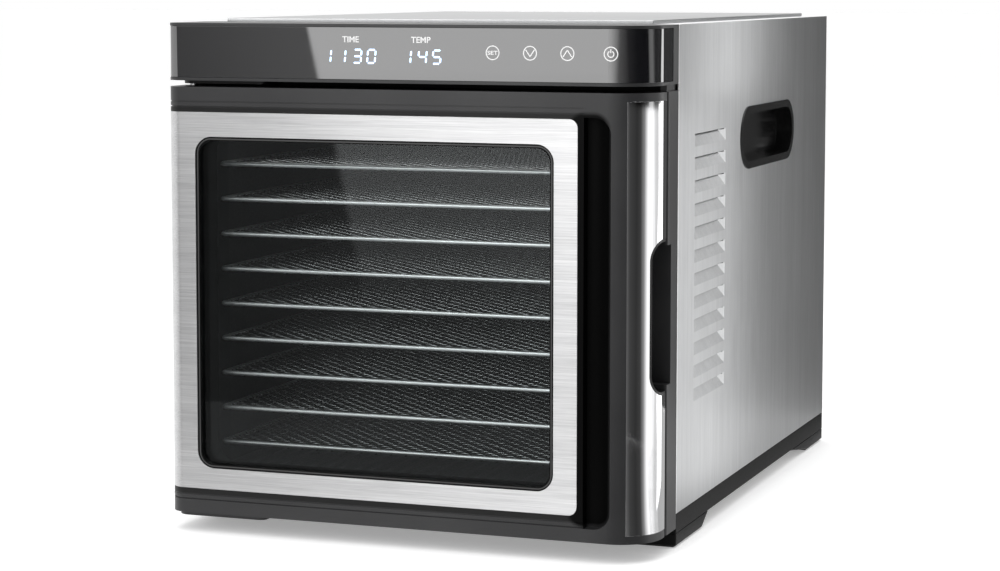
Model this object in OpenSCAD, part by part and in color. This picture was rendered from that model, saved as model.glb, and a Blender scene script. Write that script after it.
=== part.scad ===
// Nine-tray cabinet food dehydrator: a folded steel cabinet, a side-hinged glass door with a
// chrome grip strip, a touch control housing over the door, and a rear fan and heater.
// Millimetres. The origin is the middle of the footprint on the floor, the door faces -Y, +Z is up.

/* [Cabinet] */
// Width across the side panels
body_w = 356; // [352:1:360]
// Depth from the door's front face to the rear edge of the side panels
total_d = 514; // [508:1:520]
// Height of the control housing's top face
housing_top = 360; // [358:1:364]
// Height of the steel panels' lower edge
skirt_z = 24; // [23:1:26]
// Thickness of the folded steel sheet
sheet_t = 0.8; // [0.6:0.1:1]
// How far the top cover stands above the side panels
lid_rise = 2.6; // [2:0.2:4]

/* [Front] */
// Depth of the door and fixed bezel together
front_t = 64; // [62:1:66]
// Thickness of the door
door_t = 37.5; // [36:0.5:38]
// Clear seam between the door and the bezel
door_seam = 2.5; // [2:0.5:3]
// Plan radius of the left front corner
left_r = 12; // [10:1:14]
// Plan radius of the right front corner
right_r = 30; // [26:1:32]
// Height of the control housing's face
housing_h = 40.2; // [38:0.2:42]
// Gap between the control housing and the door
house_gap = 4.4; // [4:0.2:5]
// Height of the door's lower edge
door_z0 = 13.6; // [13:0.2:15]

/* [Trays] */
// Height of the top tray
top_tray_z = 258.6; // [257:0.2:259]
// Height step from one tray to the next
tray_pitch = 25.14; // [24.5:0.02:25.3]
// Half of a tray's width
tray_half = 158; // [156:0.5:158]
// Depth of a tray, front to back
tray_d = 335; // [320:1:336]
// Holes along each side of a tray's grid
tray_holes = 8; // [6:1:14]

/* [Louvres] */
// Number of louvres on each side panel
louvre_n = 12; // [8:1:12]
// Height step from one louvre to the next
louvre_pitch = 16.25; // [15:0.25:17]
// Length of a louvre
louvre_len = 82; // [70:1:90]

/* [Fan] */
// Radius of the fan
fan_r = 88; // [80:1:92]
// Number of fan blades
fan_blades = 12; // [8:1:16]
// Radius of the motor shaft
shaft_r = 4; // [3:0.5:5]

/* [Hidden] */
$fn = 48;

// Main planes
half_w = body_w / 2;
front_y = -total_d / 2;
rear_y = total_d / 2;
body_y = front_y + front_t;
door_back = front_y + door_t;
bezel_y = door_back + door_seam;
housing_z = housing_top - housing_h;
door_z1 = housing_z - house_gap;

// Door face: steel plate, window and channel, as x and z limits
plate_x1 = 127.1;
plate_z0 = 31.2;
plate_z1 = 297.9;
hole_x0 = -154.8;
hole_x1 = 110.3;
hole_z0 = 46.1;
hole_z1 = 280.7;
hole_r = 12.5;
lip = 2.8;
glass_lap = 8;
glass_t = 4;
channel_x0 = 131.4;
channel_x1 = 150.3;
channel_z0 = 22.9;
channel_z1 = 299.1;
strip_z0 = 19.2;
strip_z1 = 309.8;
strip_angle = 295;
skin_t = 0.8;

// Finger recess in the door's free edge
grip_z0 = 112;
grip_z1 = 217;
grip_x0 = 165;
grip_y0 = -243;

// Right edge of the door's inner panel, and the catch magnets beyond it
inner_x1 = 163;
magnet_x = 165;
catch_z = [60, 245];

// Hinge pin, set in from the door's left and back faces by the same amount
pin_inset = 8;
pin_x = -half_w + pin_inset;
pin_y = door_back - pin_inset;
pin_r = 3;
pin_play = 0.05;
bush_r = 5;
bush_len = 12;
bracket_lo = 9.8;
bracket_t = 3;

// Hot chamber inside the liner
chamber_half = 161;
chamber_z0 = 34;
chamber_z1 = 290;
chamber_back = 180;
liner_t = 1;
baffle_y = 128;
mouth_half = 160;
fan_z = (chamber_z0 + chamber_z1) / 2;
rim_t = 3.2;
rest_gap = 0.3;
tray_y = -214;
heater_r = 108;
heater_y = 154;
motor_y = 183;

// Top cover and the flanges it sits on
lid_half = half_w - 18;
lid_back = rear_y - 14;
flange_w = 20;
rear_skin = rear_y - 1.6;

// Hand pockets and power inlet, as limits
pocket_y0 = -27;
pocket_y1 = 138;
pocket_z0 = 249.2;
pocket_z1 = 296.2;
pocket_depth = 13.5;
pocket_rim = 4;
inlet_x = 126;
inlet_z = 56;

// Louvres, pressed into the panel, flush at the bottom and open at the top
louvre_y0 = -150.5;
louvre_top = 283.4;
louvre_h = 9;
louvre_depth = 4.4;
louvre_end = 2;

function arc(cx, cy, r, a0, a1) = [
    for (i = [0:r > 8 ? 14 : 6])
        let (a = a0 + (a1 - a0) * i / (r > 8 ? 14 : 6))
        [cx + r * cos(a), cy + r * sin(a)]
];
function corner(cx, cy, r, a0) = r > 0 ? arc(cx, cy, r, a0, a0 + 90) : [[cx, cy]];
function flip(points) = [for (i = [len(points) - 1:-1:0]) points[i]];
// Rectangle with one radius at each corner: upper right, upper left, lower left, lower right
function rounded(x0, y0, x1, y1, r) = concat(
    corner(x1 - r[0], y1 - r[0], r[0], 0),
    corner(x0 + r[1], y1 - r[1], r[1], 90),
    corner(x0 + r[2], y0 + r[2], r[2], 180),
    corner(x1 - r[3], y0 + r[3], r[3], 270)
);
function even(r) = [r, r, r, r];
// Plan line round the front section, from its left side to its right side
function wrap(inset, left_y, right_y) = concat(
    [[-half_w + inset, left_y]],
    arc(-half_w + left_r, front_y + left_r, left_r - inset, 180, 270),
    arc(half_w - right_r, front_y + right_r, right_r - inset, 270, 360),
    [[half_w - inset, right_y]]
);
function wrap_skin(i0, i1, left_y, right_y) = concat(
    wrap(i0, left_y, right_y), flip(wrap(i1, left_y, right_y))
);
function door_outline() = concat(
    arc(pin_x, pin_y, pin_inset, 90, 180),
    arc(-half_w + left_r, front_y + left_r, left_r, 180, 270),
    arc(half_w - right_r, front_y + right_r, right_r, 270, 360),
    arc(half_w - 2, door_back - 2, 2, 0, 90)
);
function window(inset) = rounded(
    hole_x0 + inset, hole_z0 + inset, hole_x1 - inset, hole_z1 - inset, even(hole_r - inset)
);
function pocket(inset) = rounded(
    pocket_y0 + inset, pocket_z0 + inset, pocket_y1 - inset, pocket_z1 - inset,
    even((pocket_z1 - pocket_z0) / 2 - inset - 0.01)
);
function tray_z(k) = top_tray_z - (k - 1) * tray_pitch;

module box(lo, hi) {
    translate(lo)
        cube(hi - lo);
}
// Outlines drawn in plan, in front view and in side view, made solid between two planes
module slab_z(z0, z1) {
    translate([0, 0, z0])
        linear_extrude(z1 - z0)
            children();
}
module slab_y(y0, y1) {
    translate([0, y1, 0])
        rotate([90, 0, 0])
            linear_extrude(y1 - y0)
                children();
}
module slab_x(x0, x1) {
    translate([x0, 0, 0])
        rotate([90, 0, 90])
            linear_extrude(x1 - x0)
                children();
}
// Children built along +Z are laid along +Y from y0, on the fan's axis
module on_fan_axis(y0) {
    translate([0, y0, fan_z])
        rotate([-90, 0, 0])
            children();
}
module rod_y(x, z, y0, y1, r) {
    translate([x, y0, z])
        rotate([-90, 0, 0])
            cylinder(r = r, h = y1 - y0);
}
module both_sides() {
    children();
    mirror([1, 0, 0])
        children();
}

// ---- Base ----
module base_pan() {
    wall = 3;
    color("#202020")
        difference() {
            box([-half_w, body_y, 10], [half_w, rear_y, skirt_z]);
            box([-half_w + wall, body_y + wall, 9], [half_w - wall, rear_y - wall, skirt_z - wall]);
        }
}
module feet() {
    foot_w = 40;
    color("#1c1c1c")
        both_sides() {
            slab_x(half_w - foot_w, half_w)
                polygon([[body_y, 10], [body_y, 1.5], [body_y + 69, 1.5], [body_y + 85, 10]]);
            slab_x(half_w - foot_w, half_w)
                polygon([[rear_y - 113, 10], [rear_y - 55, 1.5], [rear_y, 1.5], [rear_y, 10]]);
        }
}
module foot_pads() {
    color("#101010")
        both_sides() {
            box([half_w - 38, body_y + 2, 0], [half_w - 2, body_y + 67, 1.5]);
            box([half_w - 38, rear_y - 53, 0], [half_w - 2, rear_y - 2, 1.5]);
        }
}

// ---- Steel cabinet ----
module louvre_wedge(z0, y0, y1, depth, x1) {
    x0 = half_w - depth - 2;
    intersection() {
        slab_y(y0, y1)
            polygon([[half_w, z0], [half_w - depth, z0 + louvre_h], [x1, z0 + louvre_h], [x1, z0]]);
        slab_z(z0 - 1, z0 + louvre_h + 1)
            polygon([[x1 + 2, y0 - 2], [x1 + 2, y1 + 2 * louvre_end + louvre_end * (x1 - half_w)],
                [x0, y1 - louvre_end * (half_w - x0)], [x0, y0 - 2]]);
    }
}
module side_panel() {
    color("#b9bbbd")
        difference() {
            union() {
                box([half_w - sheet_t, body_y, skirt_z], [half_w, rear_y, housing_top]);
                box([half_w - flange_w, body_y, housing_top - sheet_t], [half_w, rear_y, housing_top]);
                box([half_w - 13, rear_skin - sheet_t, skirt_z],
                    [half_w, rear_skin, housing_top - sheet_t]);
                for (z = [for (i = [0:louvre_n - 1]) louvre_top - louvre_h - i * louvre_pitch])
                    louvre_wedge(z - 1, louvre_y0 - sheet_t, louvre_y0 + louvre_len + 2 * sheet_t,
                        louvre_depth + 0.5, half_w - 0.1);
            }
            for (z = [for (i = [0:louvre_n - 1]) louvre_top - louvre_h - i * louvre_pitch])
                louvre_wedge(z, louvre_y0, louvre_y0 + louvre_len, louvre_depth, half_w + 1);
            slab_x(half_w - 5, half_w + 5)
                polygon(pocket(pocket_rim));
            for (z = [50, 200, 345])
                rod_y(half_w - 7, z, rear_skin - 3, rear_skin + 3, 1.6);
        }
}
module side_panel_right() {
    side_panel();
}
module side_panel_left() {
    mirror([1, 0, 0])
        side_panel();
}
module top_cover() {
    lid_z = housing_top + lid_rise;
    color("#c9cbcc")
        difference() {
            union() {
                box([-lid_half, body_y, housing_top], [lid_half, lid_back, lid_z]);
                box([-lid_half + 2.1, body_y, housing_top - 8],
                    [lid_half - 2.1, body_y + sheet_t, lid_z - 1]);
            }
            box([-lid_half + sheet_t, body_y + sheet_t, housing_top - 1],
                [lid_half - sheet_t, lid_back - sheet_t, lid_z - sheet_t]);
        }
}
module rear_cover() {
    flange_half = half_w - flange_w - 0.1;
    color("#a8aaac")
        difference() {
            union() {
                box([-half_w + sheet_t, rear_skin, skirt_z],
                    [half_w - sheet_t, rear_skin + sheet_t, housing_top - sheet_t]);
                box([-flange_half, rear_skin, housing_top - 4],
                    [flange_half, rear_skin + sheet_t, housing_top]);
                box([-flange_half, lid_back - 6, housing_top - sheet_t],
                    [flange_half, rear_skin + 0.1, housing_top]);
            }
            for (x = [-90, 20])
                for (i = [0:8])
                    box([x, rear_skin - 1, fan_z - 40 + i * 10], [x + 70, rear_skin + 2, fan_z - 36 + i * 10]);
            box([inlet_x - 14, rear_skin - 1, inlet_z - 10], [inlet_x + 14, rear_skin + 2, inlet_z + 10]);
            both_sides()
                for (z = [50, 200, 345])
                    rod_y(half_w - 7, z, rear_skin - 3, rear_skin + 3, 1.6);
        }
}
module rear_screws() {
    color("#d0d0d0")
        both_sides()
            for (z = [50, 200, 345]) {
                rod_y(half_w - 7, z, rear_skin + sheet_t, rear_y, 3.5);
                rod_y(half_w - 7, z, rear_skin - 4, rear_skin + sheet_t + 0.2, 1.6);
            }
}
module hand_pocket() {
    color("#161616")
        difference() {
            union() {
                slab_x(half_w, half_w + 1.2)
                    polygon(pocket(0));
                slab_x(half_w - pocket_depth, half_w + 0.1)
                    polygon(pocket(pocket_rim));
            }
            slab_x(half_w - pocket_depth + 1.5, half_w + 2)
                polygon(pocket(pocket_rim + 1.5));
        }
}
module hand_pocket_right() {
    hand_pocket();
}
module hand_pocket_left() {
    mirror([1, 0, 0])
        hand_pocket();
}

// ---- Fixed bezel and hinge ----
module front_bezel() {
    wall = 3;
    neck = 2;
    color("#2b2b2b")
        difference() {
            union() {
                slab_z(door_z0, door_z1)
                    polygon(rounded(-half_w, bezel_y, half_w, body_y, [0, 0, 4, 2]));
                box([-half_w + neck, bezel_y + neck, door_z1 - 4], [half_w - neck, body_y, housing_z]);
            }
            box([-mouth_half, bezel_y - 1, chamber_z0], [mouth_half, body_y + 1, chamber_z1]);
            difference() {
                box([-half_w + wall, bezel_y + wall, door_z0 + wall],
                    [mouth_half - 4, body_y + 1, door_z1 - 2]);
                box([-mouth_half - wall, bezel_y, chamber_z0 - wall],
                    [mouth_half + wall, body_y + 2, chamber_z1 + wall]);
            }
            box([grip_x0, bezel_y - 1, grip_z0 + 5], [half_w + 1, bezel_y + 8, grip_z1 - 5]);
            for (z = catch_z)
                box([magnet_x - 0.5, bezel_y - 1, z], [magnet_x + 8.5, bezel_y + 1, z + 18]);
        }
}
module strike_plates() {
    color("#c0c0c0")
        for (z = catch_z)
            box([magnet_x - 0.5, bezel_y, z], [magnet_x + 8.5, bezel_y + 1, z + 18]);
}
module hinge_bracket_lower() {
    color("#181818")
        difference() {
            union() {
                slab_z(bracket_lo, bracket_lo + bracket_t)
                    polygon(rounded(-half_w + 2, front_y + 8, -107, body_y, [0, 0, 9, 5]));
                box([-half_w + 2, bezel_y + 2, bracket_lo], [-107, body_y, door_z0]);
            }
            translate([pin_x, pin_y, bracket_lo - 1])
                cylinder(r = pin_r, h = bracket_t + 5);
        }
}
module hinge_bracket_upper() {
    color("#181818")
        difference() {
            slab_z(housing_z - bracket_t, housing_z)
                polygon(rounded(-half_w + 2, front_y + 21, -110, bezel_y + 2, [0, 0, 8, 5]));
            translate([pin_x, pin_y, housing_z - bracket_t - 1])
                cylinder(r = pin_r, h = bracket_t + 5);
        }
}
module hinge_pins() {
    color("#c8c8c8") {
        translate([pin_x, pin_y, bracket_lo])
            cylinder(r = pin_r, h = door_z0 - bracket_lo + bush_len - 2);
        translate([pin_x, pin_y, door_z1 - bush_len + 2])
            cylinder(r = pin_r, h = housing_z - door_z1 + bush_len - 2);
    }
}

// ---- Control housing ----
module control_housing() {
    edge = 2.1;
    rebate = 2.3;
    wall = 2.5;
    color("#303030")
        difference() {
            slab_z(housing_z, housing_top)
                polygon(wrap(0, body_y, body_y));
            slab_z(housing_z + wall, housing_top - wall)
                polygon(wrap(rebate + wall, body_y + 1, body_y + 1));
            slab_z(housing_z + edge, housing_top - edge)
                polygon(wrap_skin(-1, rebate, front_y + 24, body_y - 13));
            box([-64, front_y, housing_z + 8], [36, front_y + 7, housing_z + 30]);
        }
}
module control_glass() {
    edge = 2.2;
    color("#454545")
        slab_z(housing_z + edge, housing_top - edge)
            polygon(wrap_skin(0.3, 2.3, front_y + 23.8, body_y - 13.2));
}
module display_module() {
    color("#cfe2ff")
        box([-63.5, front_y + 2.4, housing_z + 8.5], [35.5, front_y + 6, housing_z + 29.5]);
}
module touch_board() {
    color("#1d5c38")
        box([-80, front_y + 6, housing_z + 5], [150, front_y + 7.6, housing_z + 34]);
}
module wiring_loom() {
    color("#a33")  {
        rod_y(60, 335, front_y + 7.6, -57, 2.5);
        translate([60, -60, 302.6])
            cylinder(r = 3, h = 35);
    }
}
module power_board() {
    board_z = 301;
    board_t = 1.6;
    color("#1d5c38") {
        box([-75, -115, board_z], [75, 10, board_z + board_t]);
        for (x = [-68, 68])
            for (y = [-108, 3])
                translate([x, y, chamber_z1 + liner_t])
                    cylinder(r = 3, h = board_z - chamber_z1 - liner_t + 0.2);
        box([-62, -100, board_z + 1], [-22, -60, board_z + 30]);
        box([-8, -95, board_z + 1], [12, -65, board_z + 18]);
        translate([-40, -30, board_z + 1])
            cylinder(r = 9, h = 28);
        box([20, -30, board_z + 1], [50, 2, board_z + 20]);
    }
}

// ---- Hot chamber ----
module liner_right() {
    color("#3a3a3a")
        box([chamber_half, body_y, chamber_z0 - liner_t],
            [chamber_half + liner_t, chamber_back + liner_t, chamber_z1 + liner_t]);
}
module liner_left() {
    mirror([1, 0, 0])
        liner_right();
}
module liner_top() {
    color("#3a3a3a")
        box([-chamber_half, body_y, chamber_z1], [chamber_half, chamber_back + liner_t, chamber_z1 + liner_t]);
}
module liner_bottom() {
    color("#3a3a3a")
        box([-chamber_half, body_y, chamber_z0 - liner_t], [chamber_half, chamber_back + liner_t, chamber_z0]);
}
module liner_back() {
    color("#3a3a3a")
        difference() {
            box([-chamber_half, chamber_back, chamber_z0], [chamber_half, chamber_back + liner_t, chamber_z1]);
            on_fan_axis(chamber_back - 1)
                cylinder(r = shaft_r + 2, h = 4);
        }
}
module rails_right() {
    ledge_w = 6;
    ledge_t = 2;
    color("#2e2e2e")
        for (k = [1:9])
            box([chamber_half - ledge_w, body_y + 3, tray_z(k) - rim_t / 2 - rest_gap - ledge_t],
                [chamber_half, baffle_y - 4, tray_z(k) - rim_t / 2 - rest_gap]);
}
module rails_left() {
    mirror([1, 0, 0])
        rails_right();
}
module fan_baffle() {
    color("#333333")
        difference() {
            box([-chamber_half, baffle_y, chamber_z0], [chamber_half, baffle_y + 1.2, chamber_z1]);
            for (ring = [1:4])
                for (i = [0:6 * ring - 1])
                    on_fan_axis(baffle_y - 1)
                        rotate([0, 0, i * 60 / ring])
                            translate([ring * 14, 0, 0])
                                cylinder(r = 5, h = 4);
            both_sides()
                for (k = [1:9])
                    box([105, baffle_y - 1, tray_z(k) + 6], [148, baffle_y + 3, tray_z(k) + 14]);
            rod_y(130, chamber_z1 - 8, baffle_y - 1, baffle_y + 3, 2.3);
        }
}
module temperature_sensor() {
    color("#d8d8d8") {
        rod_y(130, chamber_z1 - 8, baffle_y - 18, baffle_y + 5, 2);
        rod_y(130, chamber_z1 - 8, baffle_y + 1.2, baffle_y + 4, 5);
    }
}
module thermal_cutout() {
    color("#222222")
        translate([110, 60, chamber_z1 + liner_t])
            cylinder(r = 8, h = 7);
}
module fan_shaft() {
    color("#cccccc")
        on_fan_axis(baffle_y + 12)
            cylinder(r = shaft_r, h = motor_y + 12 - baffle_y - 12);
}
module fan_impeller() {
    depth = 22;
    color("#9a9a9a")
        on_fan_axis(baffle_y + 15)
            difference() {
                union() {
                    cylinder(r = 15, h = depth + 2);
                    translate([0, 0, depth])
                        cylinder(r = fan_r, h = 1.2);
                    for (i = [0:fan_blades - 1])
                        rotate([0, 0, i * 360 / fan_blades])
                            translate([12, -0.6, 2])
                                cube([fan_r - 15, 1.2, depth - 1]);
                }
                translate([0, 0, -1])
                    cylinder(r = shaft_r, h = depth + 5);
            }
}
module heater_ring() {
    color("#5a4a40")
        on_fan_axis(heater_y)
            rotate_extrude()
                translate([heater_r, 0])
                    circle(r = 4);
}
module heater_supports() {
    color("#e8e4da")
        for (a = [45, 135, 225, 315])
            rod_y(heater_r * cos(a), fan_z + heater_r * sin(a), heater_y + 4, chamber_back, 4);
}
module motor_bracket() {
    color("#8a8c8e")
        difference() {
            box([-70, chamber_back + liner_t, fan_z - 9], [70, motor_y, fan_z + 9]);
            on_fan_axis(chamber_back)
                cylinder(r = shaft_r + 2, h = 6);
        }
}
module fan_motor() {
    color("#777777")
        on_fan_axis(motor_y)
            difference() {
                union() {
                    cylinder(r = 32, h = 34);
                    cylinder(r = 14, h = 38);
                }
                translate([0, 0, -1])
                    cylinder(r = shaft_r + pin_play, h = 15);
            }
}
module power_inlet() {
    color("#141414")
        difference() {
            union() {
                box([inlet_x - 18, rear_skin + sheet_t, inlet_z - 14], [inlet_x + 18, rear_y, inlet_z + 14]);
                box([inlet_x - 14, rear_y - 22, inlet_z - 10], [inlet_x + 14, rear_y - 0.4, inlet_z + 10]);
            }
            difference() {
                box([inlet_x - 11.5, rear_y - 17, inlet_z - 8], [inlet_x + 11.5, rear_y + 1, inlet_z + 8]);
                for (x = [-7, 0, 7])
                    box([inlet_x + x - 1, rear_y - 18, inlet_z - 2], [inlet_x + x + 1, rear_y - 7, inlet_z + 2]);
            }
        }
}

// ---- Trays ----
module tray(k) {
    z = tray_z(k);
    y1 = tray_y + tray_d;
    bar = 2;
    step_x = (2 * tray_half - 6) / tray_holes;
    step_y = (tray_d - 6) / tray_holes;
    color("#d9dadb") {
        slab_z(z - rim_t / 2, z + rim_t / 2)
            difference() {
                polygon(rounded(-tray_half, tray_y, tray_half, y1, even(8)));
                polygon(rounded(-tray_half + rim_t, tray_y + rim_t, tray_half - rim_t, y1 - rim_t, even(5)));
            }
        slab_z(z - 0.4, z + 0.8)
            difference() {
                polygon(rounded(-tray_half + 1.5, tray_y + 1.5, tray_half - 1.5, y1 - 1.5, even(6)));
                for (i = [0:tray_holes - 1])
                    for (j = [0:tray_holes - 1])
                        translate([-tray_half + 3 + bar / 2 + i * step_x, tray_y + 3 + bar / 2 + j * step_y])
                            square([step_x - bar, step_y - bar]);
            }
    }
}
module drip_tray() {
    half = 156;
    y1 = tray_y + tray_d;
    z0 = chamber_z0 + 0.5;
    color("#262626")
        difference() {
            box([-half, tray_y, z0], [half, y1, z0 + 7]);
            box([-half + 1.2, tray_y + 1.2, z0 + 1.2], [half - 1.2, y1 - 1.2, z0 + 8]);
        }
}

// ---- Door ----
module face_groove(z, depth) {
    intersection() {
        slab_z(z, z + 0.9)
            polygon(wrap_skin(-1, depth, door_back - 12, door_back - 12));
        box([-half_w - 2, front_y - 2, z - 1], [channel_x0, door_back, z + 2]);
    }
}
module plate_skin(outset) {
    intersection() {
        slab_z(plate_z0, plate_z1)
            polygon(wrap_skin(-outset, skin_t, front_y + 28, front_y + 40));
        slab_y(front_y - 2, door_back)
            polygon(rounded(-half_w - 2, plate_z0, plate_x1, plate_z1, [6, 0, 0, 6]));
    }
}
module strip_skin(outset) {
    edge_y = door_back - 1.5;
    cx = half_w - right_r;
    cy = front_y + right_r;
    slab_z(strip_z0, strip_z1)
        polygon(concat(
            arc(cx, cy, right_r + outset, strip_angle, 360),
            [[half_w + outset, edge_y], [half_w - skin_t, edge_y]],
            arc(cx, cy, right_r - skin_t, 360, strip_angle)
        ));
}
module channel() {
    cx = channel_x0 + 3.6;
    cy = front_y - 8.8;
    r = norm([channel_x1 - cx, front_y - cy]);
    a0 = atan2(front_y - cy, channel_x1 - cx);
    a1 = acos((channel_x0 - cx) / r);
    intersection() {
        slab_z(channel_z0, channel_z1)
            polygon(concat(
                arc(cx, cy, r, a0, a1),
                [[channel_x0, front_y - 1], [channel_x1, front_y - 1]]
            ));
        slab_y(front_y - 2, door_back)
            polygon(rounded(channel_x0, channel_z0, channel_x1, channel_z1, [12, 0, 0, 12]));
    }
}
module grip_scoop(inset) {
    slab_x(grip_x0 - 20, half_w + 2)
        polygon(rounded(grip_y0 + inset, grip_z0 + inset, door_back + 30, grip_z1 - inset,
            [0, 14 - inset, 14 - inset, 0]));
}
module door_cavity() {
    rail = 12;
    wall = 5;
    difference() {
        slab_z(door_z0 + rail, door_z1 - rail)
            polygon(wrap(wall, door_back + 1, door_back + 1));
        box([channel_x0 - 3, front_y, 0], [channel_x1 + 3, front_y + 12, housing_z]);
        slab_y(front_y, door_back)
            polygon(window(-glass_lap));
        box([inner_x1 - 6, front_y, 0], [half_w, door_back + 2, housing_z]);
        for (z = [door_z0, door_z1 - 2 * rail])
            box([-half_w, front_y, z], [-half_w + 20, door_back, z + 2 * rail]);
    }
}
module door_frame() {
    panel_t = 2.5;
    color("#3b3b3b")
        difference() {
            slab_z(door_z0, door_z1)
                polygon(door_outline());
            door_cavity();
            slab_y(front_y - 1, door_back)
                polygon(window(lip));
            slab_y(front_y + glass_t, door_back)
                polygon(window(lip - glass_lap));
            slab_y(door_back - panel_t, door_back + 1)
                inner_outline();
            for (z = catch_z)
                box([magnet_x, door_back - 4, z], [magnet_x + 8, door_back + 1, z + 18]);
            plate_skin(1);
            strip_skin(1);
            channel();
            face_groove(301.2, 0.9);
            face_groove(304.7, 0.5);
            face_groove(26.6, 0.5);
            face_groove(23.2, 0.9);
            intersection() {
                grip_scoop(0);
                box([grip_x0, front_y, grip_z0 - 1], [half_w + 2, door_back + 1, grip_z1 + 1]);
            }
            for (z = [door_z0 - 1, door_z1 - bush_len])
                translate([pin_x, pin_y, z])
                    cylinder(r = bush_r, h = bush_len + 1);
            for (x = [-140, -20, 100])
                for (z = [door_z0 + 7.5, door_z1 - 7.5])
                    rod_y(x, z, door_back - panel_t - 5, door_back, 1.5);
        }
}
module door_plate() {
    color("#c4c6c8")
        difference() {
            plate_skin(0);
            slab_y(front_y - 1, door_back)
                polygon(window(0));
        }
}
module door_glass() {
    color("#8090a0")
        slab_y(front_y + glass_t, front_y + 2 * glass_t)
            polygon(window(lip - glass_lap + 0.3));
}
module inner_outline() {
    polygon(rounded(-166, door_z0 + 3, inner_x1, door_z1 - 3, even(3)));
}
module door_inner_panel() {
    panel_t = 2.5;
    color("#262626")
        difference() {
            slab_y(door_back - panel_t, door_back)
                inner_outline();
            slab_y(door_back - panel_t - 1, door_back + 1)
                polygon(window(lip - glass_lap + 0.3));
            for (x = [-140, -20, 100])
                for (z = [door_z0 + 7.5, door_z1 - 7.5])
                    rod_y(x, z, door_back - panel_t - 1, door_back + 1, 1.5);
        }
}
module window_surround() {
    color("#262626")
        difference() {
            slab_y(front_y + 2 * glass_t, door_back)
                polygon(window(lip - glass_lap + 0.3));
            slab_y(front_y, door_back + 1)
                polygon(window(-1.2));
        }
}
module door_screws() {
    color("#d0d0d0")
        for (x = [-140, -20, 100])
            for (z = [door_z0 + 7.5, door_z1 - 7.5]) {
                rod_y(x, z, door_back - 7, door_back + 0.2, 1.5);
                rod_y(x, z, door_back, door_back + 1.1, 3);
            }
}
module door_gasket() {
    color("#4a4a4a")
        slab_y(door_back, bezel_y - 0.3)
            difference() {
                polygon(rounded(-164.5, chamber_z0 - 4.5, 164.5, chamber_z1 + 4.5, even(5)));
                polygon(rounded(-161, chamber_z0 - 1, 161, chamber_z1 + 1, even(2)));
            }
}
module handle_strip() {
    color("#e2e2e2")
        difference() {
            strip_skin(0);
            grip_scoop(0);
        }
}
module finger_recess() {
    color("#1a1a1a")
        difference() {
            intersection() {
                grip_scoop(0);
                slab_z(grip_z0 - 1, grip_z1 + 1)
                    polygon(door_outline());
                box([grip_x0, front_y, grip_z0 - 1], [half_w + 2, door_back - 2.5, grip_z1 + 1]);
            }
            intersection() {
                grip_scoop(1.8);
                box([grip_x0 + 1.5, front_y, grip_z0], [half_w + 5, door_back + 1, grip_z1]);
            }
        }
}
module hinge_bushes() {
    color("#e6dcc0")
        for (z = [door_z0, door_z1 - bush_len])
            translate([pin_x, pin_y, z])
                difference() {
                    cylinder(r = bush_r, h = bush_len);
                    translate([0, 0, -1])
                        cylinder(r = pin_r + pin_play, h = bush_len + 2);
                }
}
module door_magnets() {
    color("#555555")
        for (z = catch_z)
            box([magnet_x, door_back - 4, z], [magnet_x + 8, door_back, z + 18]);
}

base_pan();
feet();
foot_pads();
side_panel_left();
side_panel_right();
top_cover();
rear_cover();
front_bezel();
hinge_bracket_lower();
hinge_bracket_upper();
hinge_pins();
strike_plates();
control_housing();
control_glass();
display_module();
touch_board();
power_board();
wiring_loom();
liner_left();
liner_right();
liner_top();
liner_bottom();
liner_back();
rails_left();
rails_right();
fan_baffle();
fan_motor();
motor_bracket();
fan_shaft();
fan_impeller();
heater_ring();
heater_supports();
temperature_sensor();
thermal_cutout();
power_inlet();
rear_screws();
hand_pocket_left();
hand_pocket_right();
drip_tray();
tray(1);  // tray_1
tray(2);  // tray_2
tray(3);  // tray_3
tray(4);  // tray_4
tray(5);  // tray_5
tray(6);  // tray_6
tray(7);  // tray_7
tray(8);  // tray_8
tray(9);  // tray_9
door_frame();
door_plate();
door_glass();
door_inner_panel();
window_surround();
door_gasket();
handle_strip();
finger_recess();
hinge_bushes();
door_magnets();
door_screws();
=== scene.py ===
"""Looks for the cabinet food dehydrator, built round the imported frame."""

import math

import bpy
from mathutils import Euler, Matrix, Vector


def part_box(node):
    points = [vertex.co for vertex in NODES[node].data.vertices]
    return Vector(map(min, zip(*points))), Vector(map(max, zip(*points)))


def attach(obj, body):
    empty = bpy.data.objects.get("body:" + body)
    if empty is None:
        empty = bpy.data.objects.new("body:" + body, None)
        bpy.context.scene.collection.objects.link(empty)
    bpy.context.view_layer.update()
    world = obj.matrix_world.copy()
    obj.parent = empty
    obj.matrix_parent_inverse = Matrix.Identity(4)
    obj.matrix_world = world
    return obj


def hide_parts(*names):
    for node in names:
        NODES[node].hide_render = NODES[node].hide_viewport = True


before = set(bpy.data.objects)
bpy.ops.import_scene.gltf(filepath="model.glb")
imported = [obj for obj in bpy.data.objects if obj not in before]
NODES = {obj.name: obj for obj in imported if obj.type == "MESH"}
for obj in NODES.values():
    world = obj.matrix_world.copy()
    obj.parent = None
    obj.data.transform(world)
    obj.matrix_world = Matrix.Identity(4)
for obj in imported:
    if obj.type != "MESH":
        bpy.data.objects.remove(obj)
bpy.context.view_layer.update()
MM = 0.001  # all lengths below are in metres


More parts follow.
